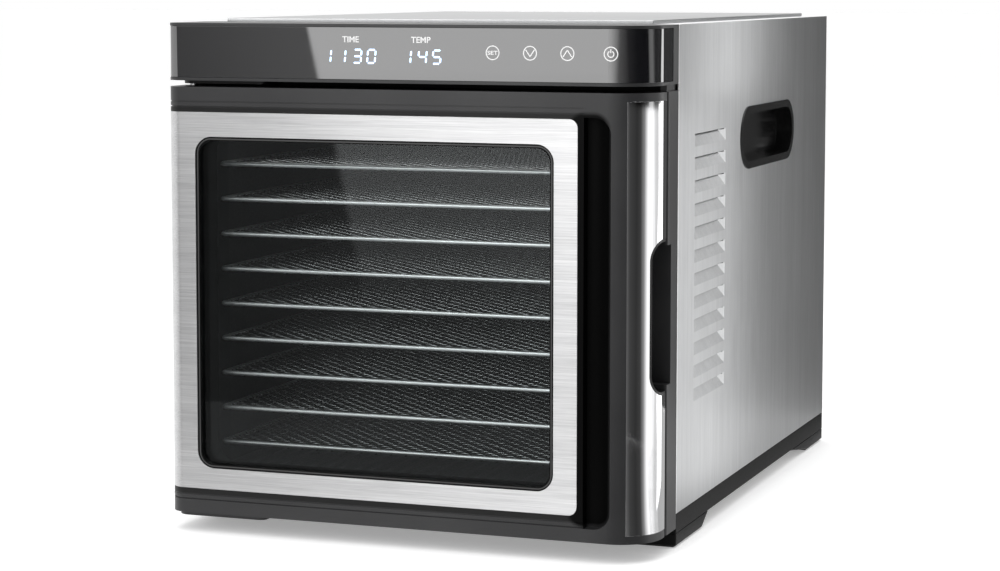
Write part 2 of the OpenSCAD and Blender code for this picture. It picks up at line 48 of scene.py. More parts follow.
# ---------------------------------------------------------------- node helpers
class Graph:
    """Short calls for building one material's node tree."""

    def __init__(self, name):
        self.material = bpy.data.materials.new(name)
        self.material.use_nodes = True
        self.tree = self.material.node_tree
        self.tree.nodes.clear()
        self.out = self.add("ShaderNodeOutputMaterial")
        self.shader = self.add("ShaderNodeBsdfPrincipled")
        self.link(self.shader.outputs["BSDF"], self.out.inputs["Surface"])

    def add(self, kind, **settings):
        node = self.tree.nodes.new(kind)
        for key, value in settings.items():
            setattr(node, key, value)
        return node

    def link(self, source, target):
        self.tree.links.new(source, target)

    def set(self, **values):
        """Values that are the same all over, on the shader's own sockets."""
        for key, value in values.items():
            self.shader.inputs[key.replace("_", " ")].default_value = value

    def place(self, scale=(1, 1, 1)):
        """Object coordinates stretched by scale, so that a pattern keeps its real size."""
        where = self.add("ShaderNodeTexCoord")
        stretch = self.add("ShaderNodeMapping")
        stretch.inputs["Scale"].default_value = scale
        self.link(where.outputs["Object"], stretch.inputs["Vector"])
        return stretch.outputs["Vector"]

    def noise(self, vector, scale=1.0, detail=3.0, rough=0.5):
        node = self.add("ShaderNodeTexNoise")
        node.inputs["Scale"].default_value = scale
        node.inputs["Detail"].default_value = detail
        node.inputs["Roughness"].default_value = rough
        self.link(vector, node.inputs["Vector"])
        return node.outputs["Fac"]

    def span(self, value, low, high, start=0.3, end=0.7):
        """value from start to end mapped to low to high."""
        node = self.add("ShaderNodeMapRange")
        node.inputs["From Min"].default_value = start
        node.inputs["From Max"].default_value = end
        node.inputs["To Min"].default_value = low
        node.inputs["To Max"].default_value = high
        self.link(value, node.inputs["Value"])
        return node.outputs["Result"]

    def tint(self, value, dark, light):
        """A colour between dark and light."""
        node = self.add("ShaderNodeMix", data_type="RGBA")
        node.inputs["A"].default_value = (*dark, 1)
        node.inputs["B"].default_value = (*light, 1)
        self.link(value, node.inputs["Factor"])
        return node.outputs["Result"]

    def bump(self, value, distance):
        """Relief from a pattern, as deep as distance in metres."""
        node = self.add("ShaderNodeBump")
        node.inputs["Distance"].default_value = distance
        node.inputs["Strength"].default_value = 1.0
        self.link(value, node.inputs["Height"])
        self.link(node.outputs["Normal"], self.shader.inputs["Normal"])

    def into(self, value, socket):
        self.link(value, self.shader.inputs[socket])

    def part(self, axis):
        """One of the object coordinates."""
        spot = self.add("ShaderNodeSeparateXYZ")
        self.link(self.place(), spot.inputs[0])
        return spot.outputs[axis]

    def math(self, operation, first, second=0.0):
        """A sum on a socket and a number."""
        node = self.add("ShaderNodeMath", operation=operation)
        self.link(first, node.inputs[0])
        node.inputs[1].default_value = second
        return node.outputs[0]

    def inlay(self, low, high, corner, colour, gloss, soft=0.0006):
        """Another colour and gloss inside a round-cornered rectangle, from its low and high (x, z).

        soft is the width over which its edge fades.
        """
        past = self.add("ShaderNodeCombineXYZ")
        for axis, lo, hi in (("X", low[0], high[0]), ("Z", low[1], high[1])):
            away = self.math("ABSOLUTE", self.math("SUBTRACT", self.part(axis), (lo + hi) / 2))
            over = self.math("SUBTRACT", away, (hi - lo) / 2 - corner)
            self.link(self.math("MAXIMUM", over), past.inputs[axis])
        reach = self.add("ShaderNodeVectorMath", operation="LENGTH")
        self.link(past.outputs[0], reach.inputs[0])
        inside = self.span(reach.outputs["Value"], 1, 0, corner - soft, corner)
        old_colour = self.shader.inputs["Base Color"].links[0].from_socket
        mixed = self.add("ShaderNodeMix", data_type="RGBA")
        self.link(inside, mixed.inputs["Factor"])
        self.link(old_colour, mixed.inputs["A"])
        mixed.inputs["B"].default_value = (*colour, 1)
        self.into(mixed.outputs["Result"], "Base Color")
        level = self.shader.inputs["Specular IOR Level"]
        share = self.add("ShaderNodeMix", data_type="FLOAT")
        self.link(inside, share.inputs["Factor"])
        share.inputs["A"].default_value = level.default_value
        if level.links:
            self.link(level.links[0].from_socket, share.inputs["A"])
        share.inputs["B"].default_value = gloss
        self.link(share.outputs["Result"], level)


def brushed(name, dark, light, grain, across, fold=None):
    """Steel sheet with fine lines along grain.

    Its highlight spreads along across. With fold, the 1 mm behind that y gets a painted highlight: its colour
    turns near white along the folded edge.
    """
    g = Graph(name)
    fine = [22.0 if along else 1500.0 for along in grain]
    broad = [3.0 if along else 160.0 for along in grain]
    broad_share = 0.3
    lines = g.noise(g.place(fine), detail=4.0, rough=0.7)
    bands = g.noise(g.place(broad), detail=2.0)
    mixed = g.add("ShaderNodeMath", operation="MULTIPLY_ADD")
    mixed.inputs[1].default_value = broad_share
    g.link(bands, mixed.inputs[0])
    g.link(lines, mixed.inputs[2])
    colour = g.tint(g.span(mixed.outputs[0], 0, 1, 0.45, 0.85), dark, light)
    # Painted highlight: near-white colour in the 1 mm behind the fold, standing in for light caught by the
    # folded edge.
    if fold is not None:
        painted_fold_highlight = g.add("ShaderNodeMix", data_type="RGBA")
        g.link(g.span(g.part("Y"), 1, 0, fold + 1.0 * MM, fold + 1.6 * MM), painted_fold_highlight.inputs["Factor"])
        g.link(colour, painted_fold_highlight.inputs["A"])
        painted_fold_highlight.inputs["B"].default_value = (0.97, 0.97, 0.97, 1)
        colour = painted_fold_highlight.outputs["Result"]
    g.into(colour, "Base Color")
    g.into(g.span(lines, 0.36, 0.46), "Roughness")
    g.set(Metallic=1.0, Anisotropic=0.9)
    turn = g.add("ShaderNodeVectorTransform", vector_type="VECTOR", convert_from="OBJECT", convert_to="WORLD")
    turn.inputs["Vector"].default_value = across
    g.link(turn.outputs["Vector"], g.shader.inputs["Tangent"])
    g.bump(lines, 4e-6)
    return g.material


def plastic(name, dark, light, rough=(0.34, 0.42), grain=2200.0, depth=8e-6,
            specular=0.5, ior=1.5, inlays=()):
    """Moulded plastic: a faint colour drift, a fine spark-eroded grain, and slightly uneven gloss.

    Each inlay is the arguments of one Graph.inlay call.
    """
    g = Graph(name)
    drift = g.noise(g.place(), scale=14.0, detail=3.0)
    skin = g.noise(g.place(), scale=grain, detail=2.0)
    g.into(g.tint(g.span(drift, 0, 1), dark, light), "Base Color")
    g.into(g.span(skin, *rough), "Roughness")
    g.set(Specular_IOR_Level=specular, IOR=ior)
    g.bump(skin, depth)
    for each in inlays:
        g.inlay(*each)
    return g.material


def metal(name, dark, light, rough=(0.15, 0.3), scale=300.0, depth=4e-6):
    """Plain metal with a slight wander in colour and gloss."""
    g = Graph(name)
    wander = g.noise(g.place(), scale=scale, detail=3.0)
    g.into(g.tint(g.span(wander, 0, 1), dark, light), "Base Color")
    g.into(g.span(wander, *rough), "Roughness")
    g.set(Metallic=1.0)
    g.bump(wander, depth)
    return g.material


def woven_painted_shade(name, dark, light, low, high):
    """Steel wire with painted shade: its colour is bright on the crests of the weave, at height high, and
    painted dark down in it.
    """
    g = Graph(name)
    g.into(g.tint(g.span(g.part("Z"), 0, 1, low, high), dark, light), "Base Color")
    wander = g.noise(g.place(), scale=300.0, detail=3.0)
    g.into(g.span(wander, 0.18, 0.28), "Roughness")
    g.set(Metallic=1.0)
    g.bump(wander, 4e-6)
    return g.material


def pane(name, tint, gloss):
    """Thin clear glass: light passes straight through, and the surface mirrors by gloss."""
    g = Graph(name)
    clear = g.add("ShaderNodeBsdfTransparent")
    clear.inputs["Color"].default_value = (*tint, 1)
    smear = g.noise(g.place((9, 9, 14)), detail=2.0)
    g.into(g.span(smear, 0.004, 0.012), "Roughness")
    g.set(Base_Color=(0.9, 0.92, 0.93, 1), Metallic=1.0)
    facing = g.add("ShaderNodeFresnel")
    facing.inputs["IOR"].default_value = 1.45
    mix = g.add("ShaderNodeMixShader")
    g.link(g.math("MULTIPLY", facing.outputs["Fac"], gloss), mix.inputs["Fac"])
    g.link(clear.outputs[0], mix.inputs[1])
    g.link(g.shader.outputs[0], mix.inputs[2])
    g.link(mix.outputs[0], g.out.inputs["Surface"])
    return g.material


def lit(name, colour, strength):
    """Marks on the control glass that glow: lit display digits, and printed marks given a painted glow."""
    g = Graph(name)
    speck = g.noise(g.place(), scale=900.0, detail=1.0)
    dim = tuple(c * 0.92 for c in colour)
    shade = g.tint(g.span(speck, 0, 1), dim, colour)
    g.into(shade, "Base Color")
    g.into(shade, "Emission Color")
    g.set(Emission_Strength=strength, Roughness=0.4)
    return g.material


# The side steel carries a painted highlight along its front fold.
steel_side = brushed("steel_side", (0.50, 0.505, 0.51), (0.66, 0.665, 0.67), (0, 0, 1), (0, 1, 0),
                     fold=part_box("side_panel_right")[0].y)
steel_top = brushed("steel_top", (0.52, 0.525, 0.53), (0.66, 0.665, 0.67), (0, 1, 0), (1, 0, 0))
steel_door = brushed("steel_door", (0.57, 0.57, 0.575), (0.79, 0.79, 0.795), (1, 0, 0), (0, 0, 1))

DOOR_DARK, DOOR_LIGHT = (0.016, 0.016, 0.017), (0.024, 0.024, 0.025)
# Colours painted into the door's insets: black and dark-grey painted shade, and a grey painted highlight
# line.
PAINTED_SHADE_BLACK = (0.002, 0.002, 0.002)
GROOVE_PAINTED_SHADE = (0.010, 0.010, 0.010)
PAINTED_HIGHLIGHT_LINE = (0.05, 0.05, 0.05)
PLATE_LOW, PLATE_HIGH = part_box("door_plate")
PANE_LOW, PANE_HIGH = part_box("door_glass")
PANE_LAP = 8.0 * MM


def window_box(grow):
    """The window opening's (x, z) limits, grown by some millimetres."""
    reach = grow * MM - PANE_LAP
    return (PANE_LOW.x - reach, PANE_LOW.z - reach), (PANE_HIGH.x + reach, PANE_HIGH.z + reach)


# Low and high (x, z) of the insets round the face plate, right of it and in the bezel. Their colours are
# painted shade: the groove round the plate, the deep channel right of it, and the bezel face seen in the gap
# above the door.
groove_box = ((PLATE_LOW.x - 20.0 * MM, PLATE_LOW.z - 4.2 * MM),
              (PLATE_HIGH.x + 4.0 * MM, PLATE_HIGH.z + 3.6 * MM))
channel_box = ((PLATE_HIGH.x - 8.0 * MM, PLATE_LOW.z - 8.6 * MM),
               (PLATE_HIGH.x + 23.5 * MM, PLATE_HIGH.z + 5.5 * MM))
bezel_box = ((-0.2, 0.305), (0.172, 0.4))

black_door = plastic("black_door", DOOR_DARK, DOOR_LIGHT)
# The frame's insets are painted light and shade: darker painted shade in the groove round the face plate,
# black painted shade down the channel right of it with a 3 mm fade, and round the window a black painted
# shade ring, a grey painted highlight line and another black painted shade ring.
black_frame = plastic("black_frame", DOOR_DARK, DOOR_LIGHT, inlays=[
    (*groove_box, 2.0 * MM, GROOVE_PAINTED_SHADE, 0.22),
    (*channel_box, 12.0 * MM, PAINTED_SHADE_BLACK, 0.06, 3.0 * MM),
    (*window_box(3.2), 12.0 * MM, PAINTED_SHADE_BLACK, 0.10),
    (*window_box(2.2), 11.0 * MM, PAINTED_HIGHLIGHT_LINE, 0.6),
    (*window_box(1.4), 10.0 * MM, PAINTED_SHADE_BLACK, 0.10),
])
# The bezel's inset is black painted shade where its face shows in the gap above the door.
black_bezel = plastic("black_bezel", DOOR_DARK, DOOR_LIGHT, inlays=[(*bezel_box, 1.0 * MM, PAINTED_SHADE_BLACK, 0.06)])
black_well = plastic("black_well", (0.003, 0.003, 0.003), (0.006, 0.006, 0.006),
                     rough=(0.5, 0.6), specular=0.12)
black_pocket = plastic("black_pocket", (0.006, 0.006, 0.006), (0.012, 0.012, 0.012),
                       rough=(0.28, 0.38), specular=0.25)
black_gloss = plastic("black_gloss", (0.004, 0.004, 0.004), (0.008, 0.008, 0.008),
                      rough=(0.12, 0.18), specular=0.45)
black_base = plastic("black_base", (0.003, 0.003, 0.003), (0.006, 0.006, 0.006),
                     rough=(0.4, 0.5), specular=0.08)
rubber = plastic("rubber", (0.01, 0.01, 0.01), (0.018, 0.018, 0.018), rough=(0.65, 0.8), grain=1200.0)
painted = plastic("painted_black", (0.01, 0.01, 0.011), (0.016, 0.016, 0.017), rough=(0.35, 0.5), grain=900.0)
fascia = plastic("fascia_glass", (0.006, 0.006, 0.007), (0.008, 0.008, 0.009),
                 rough=(0.02, 0.035), grain=60.0, depth=0, ior=2.6)
chamber = plastic("chamber_enamel", (0.034, 0.034, 0.035), (0.046, 0.046, 0.047),
                  rough=(0.32, 0.5), grain=700.0)
chrome = metal("chrome", (0.80, 0.80, 0.81), (0.86, 0.86, 0.87), rough=(0.05, 0.08), scale=30.0, depth=0)
rim_steel = metal("tray_rim", (0.92, 0.92, 0.92), (0.98, 0.98, 0.98), rough=(0.38, 0.44))
# The tray wires' colour is painted shade: near black low in the weave, near white on its crests.
wire = woven_painted_shade("tray_wire", (0.02, 0.02, 0.02), (0.94, 0.94, 0.94), 0.1 * MM, 0.75 * MM)
bright = metal("bright_steel", (0.60, 0.60, 0.61), (0.74, 0.74, 0.75), rough=(0.2, 0.34))
motor_grey = metal("motor_grey", (0.30, 0.30, 0.31), (0.42, 0.42, 0.43), rough=(0.35, 0.5))
aluminium = metal("fan_aluminium", (0.70, 0.70, 0.71), (0.82, 0.82, 0.83), rough=(0.3, 0.42))
sheath = metal("heater_sheath", (0.20, 0.14, 0.11), (0.36, 0.30, 0.27), rough=(0.35, 0.55), scale=60.0)
ferrite = plastic("ferrite", (0.04, 0.04, 0.042), (0.07, 0.07, 0.072), rough=(0.6, 0.75))
ceramic = plastic("ceramic", (0.74, 0.71, 0.65), (0.84, 0.82, 0.77), rough=(0.25, 0.35))
nylon = plastic("nylon", (0.68, 0.65, 0.55), (0.78, 0.75, 0.66), rough=(0.4, 0.5))
board = plastic("circuit_board", (0.015, 0.10, 0.04), (0.03, 0.16, 0.07), rough=(0.25, 0.4))
cable = plastic("cable_red", (0.30, 0.02, 0.015), (0.42, 0.04, 0.03), rough=(0.35, 0.5))
window_glass = pane("window_glass", (0.93, 0.95, 0.95), 0.8)
digit_light = lit("digit_light", (0.50, 0.70, 1.0), 1.7)
# Printed marks, given a painted glow by emission so that they read brighter.
print_white_painted_glow = lit("print_white_painted_glow", (0.55, 0.55, 0.55), 0.5)

# Each CAD node's material, and its edges' rounding in millimetres.
LOOK = {
    "base_pan": (black_base, 0.8), "feet": (black_base, 1.0), "foot_pads": (rubber, 0.3),
    "side_panel_left": (steel_side, 0), "side_panel_right": (steel_side, 0),
    "top_cover": (steel_top, 1.0), "rear_cover": (steel_side, 0),
    "front_bezel": (black_bezel, 0.6), "hinge_bracket_lower": (painted, 0.5),
    "hinge_bracket_upper": (painted, 0.5), "hinge_pins": (bright, 0.3), "strike_plates": (bright, 0.2),
    "control_housing": (black_door, 0.6), "control_glass": (fascia, 0.25),
    "display_module": (painted, 0), "touch_board": (board, 0), "power_board": (board, 0),
    "wiring_loom": (cable, 0), "liner_left": (chamber, 0), "liner_right": (chamber, 0),
    "liner_top": (chamber, 0), "liner_bottom": (chamber, 0), "liner_back": (chamber, 0),
    "rails_left": (chamber, 0.3), "rails_right": (chamber, 0.3), "fan_baffle": (chamber, 0),
    "fan_motor": (motor_grey, 0.8), "motor_bracket": (painted, 0), "fan_shaft": (bright, 0.3),
    "fan_impeller": (aluminium, 0), "heater_ring": (sheath, 0), "heater_supports": (ceramic, 0.4),
    "temperature_sensor": (bright, 0.2), "thermal_cutout": (painted, 0.3), "power_inlet": (black_pocket, 0.4),
    "rear_screws": (bright, 0.3), "hand_pocket_left": (black_gloss, 0.5),
    "hand_pocket_right": (black_gloss, 0.5), "door_frame": (black_frame, 0.45),
    "door_plate": (steel_door, 0.2), "door_glass": (window_glass, 0),
    "door_inner_panel": (black_pocket, 0.3), "window_surround": (black_well, 0.5),
    "door_gasket": (rubber, 0.4), "handle_strip": (chrome, 0.25),
    "finger_recess": (black_pocket, 0.4), "hinge_bushes": (nylon, 0),
    "door_magnets": (ferrite, 0.3), "door_screws": (bright, 0.2),
}


def smooth_group():
    """A node group that shades every face smooth, so that bevels catch light."""
    group = bpy.data.node_groups.new("shade_all_smooth", "GeometryNodeTree")
    group.interface.new_socket("Geometry", in_out="INPUT", socket_type="NodeSocketGeometry")
    group.interface.new_socket("Geometry", in_out="OUTPUT", socket_type="NodeSocketGeometry")
    start = group.nodes.new("NodeGroupInput")
    shade = group.nodes.new("GeometryNodeSetShadeSmooth")
    end = group.nodes.new("NodeGroupOutput")
    group.links.new(start.outputs[0], shade.inputs["Geometry"])
    group.links.new(shade.outputs["Geometry"], end.inputs[0])
    return group


SMOOTH = smooth_group()


def soften(obj, width_mm):
    """Small rounded edges on a CAD node, made with modifiers only."""
    weld = obj.modifiers.new("weld", "WELD")
    weld.merge_threshold = 1e-6
    bevel = obj.modifiers.new("edge", "BEVEL")
    bevel.width = width_mm * MM
    bevel.segments = 2
    bevel.limit_method = "ANGLE"
    bevel.angle_limit = math.radians(32)
    bevel.use_clamp_overlap = True
    bevel.miter_outer = "MITER_ARC"
    shade = obj.modifiers.new("smooth", "NODES")
    shade.node_group = SMOOTH
    normals = obj.modifiers.new("normals", "WEIGHTED_NORMAL")
    normals.keep_sharp = True
    normals.weight = 100


for node_name, (material, width_mm) in LOOK.items():
    NODES[node_name].data.materials.clear()
    NODES[node_name].data.materials.append(material)
    if width_mm:
        soften(NODES[node_name], width_mm)


# ---------------------------------------------------------------- mesh helpers
class Shape:
    """Collects vertices and faces, in metres, for one new mesh."""

    def __init__(self):
        self.points = []
        self.faces = []

    def tube(self, path, radius, sides, closed=False, twist=0.0):
        """A round bar along a path, its first corner turned by twist."""
        first = len(self.points)
        count = len(path)
        for i, here in enumerate(path):
            before = path[i - 1] if i or closed else here
            after = path[(i + 1) % count] if i + 1 < count or closed else here
            along = (Vector(after) - Vector(before)).normalized()
            side = along.cross(Vector((0, 0, 1)))
            side = side.normalized() if side.length > 1e-4 else Vector((1, 0, 0))
            up = side.cross(along)
            for k in range(sides):
                turn = 2 * math.pi * k / sides + twist
                self.points.append(Vector(here) + radius * (math.cos(turn) * side + math.sin(turn) * up))
        last = count if closed else count - 1
        for i in range(last):
            a, b = first + i * sides, first + (i + 1) % count * sides
            for k in range(sides):
                m = (k + 1) % sides
                self.faces.append((a + k, a + m, b + m, b + k))
        if not closed:
            self.faces.append(tuple(first + k for k in reversed(range(sides))))
            self.faces.append(tuple(first + (count - 1) * sides + k for k in range(sides)))

    def prism(self, outline, thickness):
        """A closed outline of points, given depth along +Y."""
        first = len(self.points)
        n = len(outline)
        self.points += [Vector(p) for p in outline]
        self.points += [Vector(p) + Vector((0, thickness, 0)) for p in outline]
        self.faces.append(tuple(first + i for i in range(n)))
        self.faces.append(tuple(first + n + i for i in reversed(range(n))))
        for i in range(n):
            j = (i + 1) % n
            self.faces.append((first + i, first + n + i, first + n + j, first + j))

    def grid(self, rows):
        """Rows of points joined into quads."""
        first = len(self.points)
        wide = len(rows[0])
        for row in rows:
            self.points += [Vector(p) for p in row]
        for j in range(len(rows) - 1):
            for i in range(wide - 1):
                a = first + j * wide + i
                self.faces.append((a, a + 1, a + wide + 1, a + wide))

    def mesh(self, name, smooth=True):
        made = bpy.data.meshes.new(name)
        made.from_pydata([tuple(p) for p in self.points], [], self.faces)
        made.validate()
        made.update()
        made.polygons.foreach_set("use_smooth", [smooth] * len(made.polygons))
        return made


def piece(name, mesh, material, body, at=(0, 0, 0)):
    """A new visible piece that rides on one body."""
    obj = bpy.data.objects.new(name, mesh)
    bpy.context.scene.collection.objects.link(obj)
    obj.location = at
    if not mesh.materials:
        mesh.materials.append(material)
    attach(obj, body)
    return obj


def loop(x0, y0, x1, y1, radius, steps=8):
    """Points round a rectangle with round corners, in plan."""
    points = []
    for cx, cy, start in ((x1, y1, 0), (x0, y1, 90), (x0, y0, 180), (x1, y0, 270)):
        ox = cx - radius if cx == x1 else cx + radius
        oy = cy - radius if cy == y1 else cy + radius
        for i in range(steps + 1):
            turn = math.radians(start + 90 * i / steps)
            points.append((ox + radius * math.cos(turn), oy + radius * math.sin(turn)))
    return points


# ---------------------------------------------------------------- wire trays
RIM_CORNER = 3.5 * MM
MESH_PITCH, MESH_LIFT, MESH_WIRE = 5.7 * MM, 0.5 * MM, 0.44 * MM
BRACE_WIRE, BRACE_DROP = 1.1 * MM, 1.0 * MM
# How far out past the rim's middle, and how high, a turned-under wire end runs, in millimetres.
TURNED_END = ((0.9, -1.95), (-0.3, -2.1), (-1.9, -1.3))


def tray_meshes(low, high):
    """A heavy rim wire, and crimped wires woven over and under each other inside it.

    z is 0 at mid-height.
    """
    rim = (high.z - low.z) / 2
    x0, x1, y0, y1 = low.x + rim, high.x - rim, low.y + rim, high.y - rim
    edge = Shape()
    edge.tube([(x, y, 0) for x, y in loop(x0, y0, x1, y1, RIM_CORNER)], rim, 12, closed=True)
    shape = Shape()
    nx, ny = round((x1 - x0) / MESH_PITCH), round((y1 - y0) / MESH_PITCH)
    dx, dy = (x1 - x0) / nx, (y1 - y0) / ny
    for i in range(1, nx):
        x = x0 + i * dx
        path = []
        for j in range(2 * ny + 1):
            wave = 0 if j % 2 else MESH_LIFT * (1 if (i + j // 2) % 2 else -1)
            path.append((x, y0 + j * dy / 2, wave))
        if i % 2:
            near = [(x, y0 - out * MM, z * MM) for out, z in TURNED_END]
            far = [(x, y1 + out * MM, z * MM) for out, z in reversed(TURNED_END)]
            path = near + path[2:-2] + far
        shape.tube(path, MESH_WIRE, 4, twist=math.pi / 4)
    for j in range(1, ny):
        y = y0 + j * dy
        path = []
        for i in range(2 * nx + 1):
            wave = 0 if i % 2 else MESH_LIFT * (-1 if (i // 2 + j) % 2 else 1)
            path.append((x0 + i * dx / 2, y, wave))
        shape.tube(path, MESH_WIRE, 4, twist=math.pi / 4)
    reach = x1 - rim - 0.3 * MM
    for share in (0.33, 0.67):
        y = y0 + share * (y1 - y0)
        shape.tube([(-reach, y, -BRACE_DROP), (reach, y, -BRACE_DROP)], BRACE_WIRE, 8)
    return edge.mesh("tray_rim"), shape.mesh("woven_tray")


def build_trays():
    """Nine trays that share one rim mesh and one woven mesh."""
    low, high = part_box("tray_1")
    edge, mesh = tray_meshes(low, high)
    for k in range(1, 10):
        low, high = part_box(f"tray_{k}")
        tray = piece(f"wire_tray_{k}", mesh, wire, f"tray_{k}", (0, 0, (low.z + high.z) / 2))
        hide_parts(f"tray_{k}")
        piece(f"rim_wire_{k}", edge, rim_steel, f"tray_{k}", tray.location)


def build_drip_tray():
    """A pressed pan with rolled edges and ridges that run front to back."""
    low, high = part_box("drip_tray")
    shape = Shape()
    x0, x1, y0, y1 = low.x, high.x, low.y, high.y
    floor = low.z + 1.6 * MM
    border, ridge_end = 4 * MM, 14 * MM
    ridge_height, steps, steps_per_ridge = 0.9 * MM, 208, 8
    ridge_rows = [y0 + ridge_end + i * (y1 - y0 - 2 * ridge_end) / 3 for i in range(4)]
    rows = []
    for y in [y0 + border] + ridge_rows + [y1 - border]:
        row = []
        for i in range(steps + 1):
            x = x0 + border + i * (x1 - x0 - 2 * border) / steps
            wave = 0.5 - 0.5 * math.cos(2 * math.pi * i / steps_per_ridge)
            row.append((x, y, floor + (ridge_height * wave if y in ridge_rows else 0)))
        rows.append(row)
    shape.grid(rows)
    # The rim's section, from the pan's floor to the rolled edge: inset and rise, in millimetres.
    section = [(4, 0), (2.4, 0.4), (1.3, 1.6), (1.0, 3.8), (0.9, 4.8), (0.3, 5.25), (0.0, 4.7)]
    rings = []
    for inset, rise in section:
        away, corner = inset * MM, 5 * MM - inset * MM * 0.9
        ring = loop(x0 + away, y0 + away, x1 - away, y1 - away, corner, 6)
        rings.append([(x, y, floor + rise * MM) for x, y in ring + ring[:1]])
    shape.grid(rings)
    pan = piece("drip_pan", shape.mesh("drip_pan"), chamber, "drip_tray")
    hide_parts("drip_tray")


# ---------------------------------------------------------------- control glass marks
SEGMENTS = {"0": "abcdef", "1": "bc", "3": "abgcd", "4": "fgbc", "5": "afgcd"}
# Each numeral and its middle's x, in millimetres.
NUMERALS = (("1", -53.8), ("1", -43.1), ("3", -31.3), ("0", -20.9), ("1", 5.1), ("4", 16.4), ("5", 26.8))
SET_KEY, DOWN_KEY, UP_KEY, POWER_KEY = 66.9 * MM, 93.4 * MM, 119.6 * MM, 149.7 * MM
GLASS_CORNER = 30 * MM


def segment_points(letter, wide, tall, bar):
    """One bar of a seven-bar numeral, as x and z round its centre."""
    w, h = wide / 2 - bar / 2, tall / 2 - bar / 2
    ends = {
        "a": ((-w, h), (w, h)), "g": ((-w, 0), (w, 0)), "d": ((-w, -h), (w, -h)),
        "f": ((-w, h), (-w, 0)), "b": ((w, h), (w, 0)), "e": ((-w, 0), (-w, -h)), "c": ((w, 0), (w, -h)),
    }[letter]
    (ax, az), (bx, bz) = ends
    gap = bar * 0.35
    length = math.hypot(bx - ax, bz - az)
    ux, uz = (bx - ax) / length, (bz - az) / length
    nx, nz = -uz * bar / 2, ux * bar / 2
    ax, az, bx, bz = ax + ux * gap, az + uz * gap, bx - ux * gap, bz - uz * gap
    tip = bar * 0.42
    return [
        (ax, az), (ax + ux * tip + nx, az + uz * tip + nz), (bx - ux * tip + nx, bz - uz * tip + nz),
        (bx, bz), (bx - ux * tip - nx, bz - uz * tip - nz), (ax + ux * tip - nx, az + uz * tip - nz),
    ]


def glass_face():
    """The control glass's front surface: its y for each x, with the right corner's curve."""
    low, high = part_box("control_glass")
    housing_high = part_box("control_housing")[1]
    inset = housing_high.x - high.x
    centre_x, centre_y = housing_high.x - GLASS_CORNER, low.y - inset + GLASS_CORNER

    def depth(x):
        if x <= centre_x:
            return low.y
        return centre_y - math.sqrt((GLASS_CORNER - inset) ** 2 - (x - centre_x) ** 2)

    return depth


glass_depth = glass_face()
GLASS_LOW, GLASS_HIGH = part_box("control_glass")
GLASS_MID = (GLASS_LOW.z + GLASS_HIGH.z) / 2
KEY_LEVEL = GLASS_MID + 1.4 * MM
PROUD, MARK_THICKNESS = 0.06 * MM, 0.12 * MM


def mark(shape, outline):
    """A thin mark that stands just proud of the control glass, from its outline's x and z."""
    shape.prism([(x, glass_depth(x) - PROUD, z) for x, z in outline], MARK_THICKNESS)


def ring(shape, x, z, radius, width, start=0, sweep=360):
    """A round line on the glass, or a stretch of one in degrees."""
    count = max(8, int(sweep / 7.5))
    pairs = []
    for i in range(count + 1):
        turn = math.radians(start + sweep * i / count)
        pairs.append([(x + r * math.cos(turn), z + r * math.sin(turn)) for r in (radius - width, radius)])
    for (a, b), (c, d) in zip(pairs, pairs[1:]):
        mark(shape, [a, c, d, b])


def stroke(shape, points, width):
    """A bent line on the glass."""
    for (ax, az), (bx, bz) in zip(points, points[1:]):
        length = math.hypot(bx - ax, bz - az)
        nx, nz = -(bz - az) / length * width / 2, (bx - ax) / length * width / 2
        mark(shape, [(ax + nx, az + nz), (ax - nx, az - nz), (bx - nx, bz - nz), (bx + nx, bz + nz)])


def build_numerals():
    digits = Shape()
    wide, tall, bar, slant = 6.9 * MM, 10.2 * MM, 1.25 * MM, math.tan(math.radians(5.5))
    base = GLASS_MID - 1.9 * MM
    for numeral, x in NUMERALS:
        for letter in SEGMENTS[numeral]:
            outline = segment_points(letter, wide, tall, bar)
            mark(digits, [(x * MM + px + pz * slant, base + pz) for px, pz in reversed(outline)])
    piece("numerals", digits.mesh("numerals", False), digit_light, "cabinet")


def build_key_symbols():
    """A ring for each touch key, with an arrow down, an arrow up and a power mark in three of them."""
    icons = Shape()
    radius, width = 4.9 * MM, 0.68 * MM
    for x in (SET_KEY, DOWN_KEY, UP_KEY, POWER_KEY):
        ring(icons, x, KEY_LEVEL, radius, width)
    reach, rise = 3.1 * MM, 2.3 * MM
    for x, sign in ((DOWN_KEY, -1), (UP_KEY, 1)):
        tip, foot = KEY_LEVEL + sign * rise, KEY_LEVEL - sign * rise
        stroke(icons, [(x - reach, foot), (x, tip), (x + reach, foot)], width)
    ring(icons, POWER_KEY, KEY_LEVEL - 0.1 * MM, 2.4 * MM, width, 118, 304)
    stroke(icons, [(POWER_KEY, KEY_LEVEL + 0.7 * MM), (POWER_KEY, KEY_LEVEL + 3.2 * MM)], width)
    piece("key_symbols", icons.mesh("key_symbols", False), print_white_painted_glow, "cabinet")


def build_label(name, text, x, z, wide, tall):
    """A printed word on the glass, stretched to a width and height."""
    curve = bpy.data.curves.new(name, "FONT")
    curve.body = text
    curve.extrude = 0.05
    curve.offset = 0.015
    words = bpy.data.objects.new(name, curve)
    bpy.context.scene.collection.objects.link(words)
    bpy.context.view_layer.update()
    mesh = bpy.data.meshes.new_from_object(words)
    bpy.data.objects.remove(words)
    left, right = min(v.co.x for v in mesh.vertices), max(v.co.x for v in mesh.vertices)
    foot, head = min(v.co.y for v in mesh.vertices), max(v.co.y for v in mesh.vertices)
    for v in mesh.vertices:
        across = ((v.co.x - left) / (right - left) - 0.5) * wide
        up = ((v.co.y - foot) / (head - foot) - 0.5) * tall
        v.co = (x + across, glass_depth(x) - PROUD / 2 - v.co.z * MM, z + up)
    mesh.materials.clear()
    piece(name, mesh, print_white_painted_glow, "cabinet")


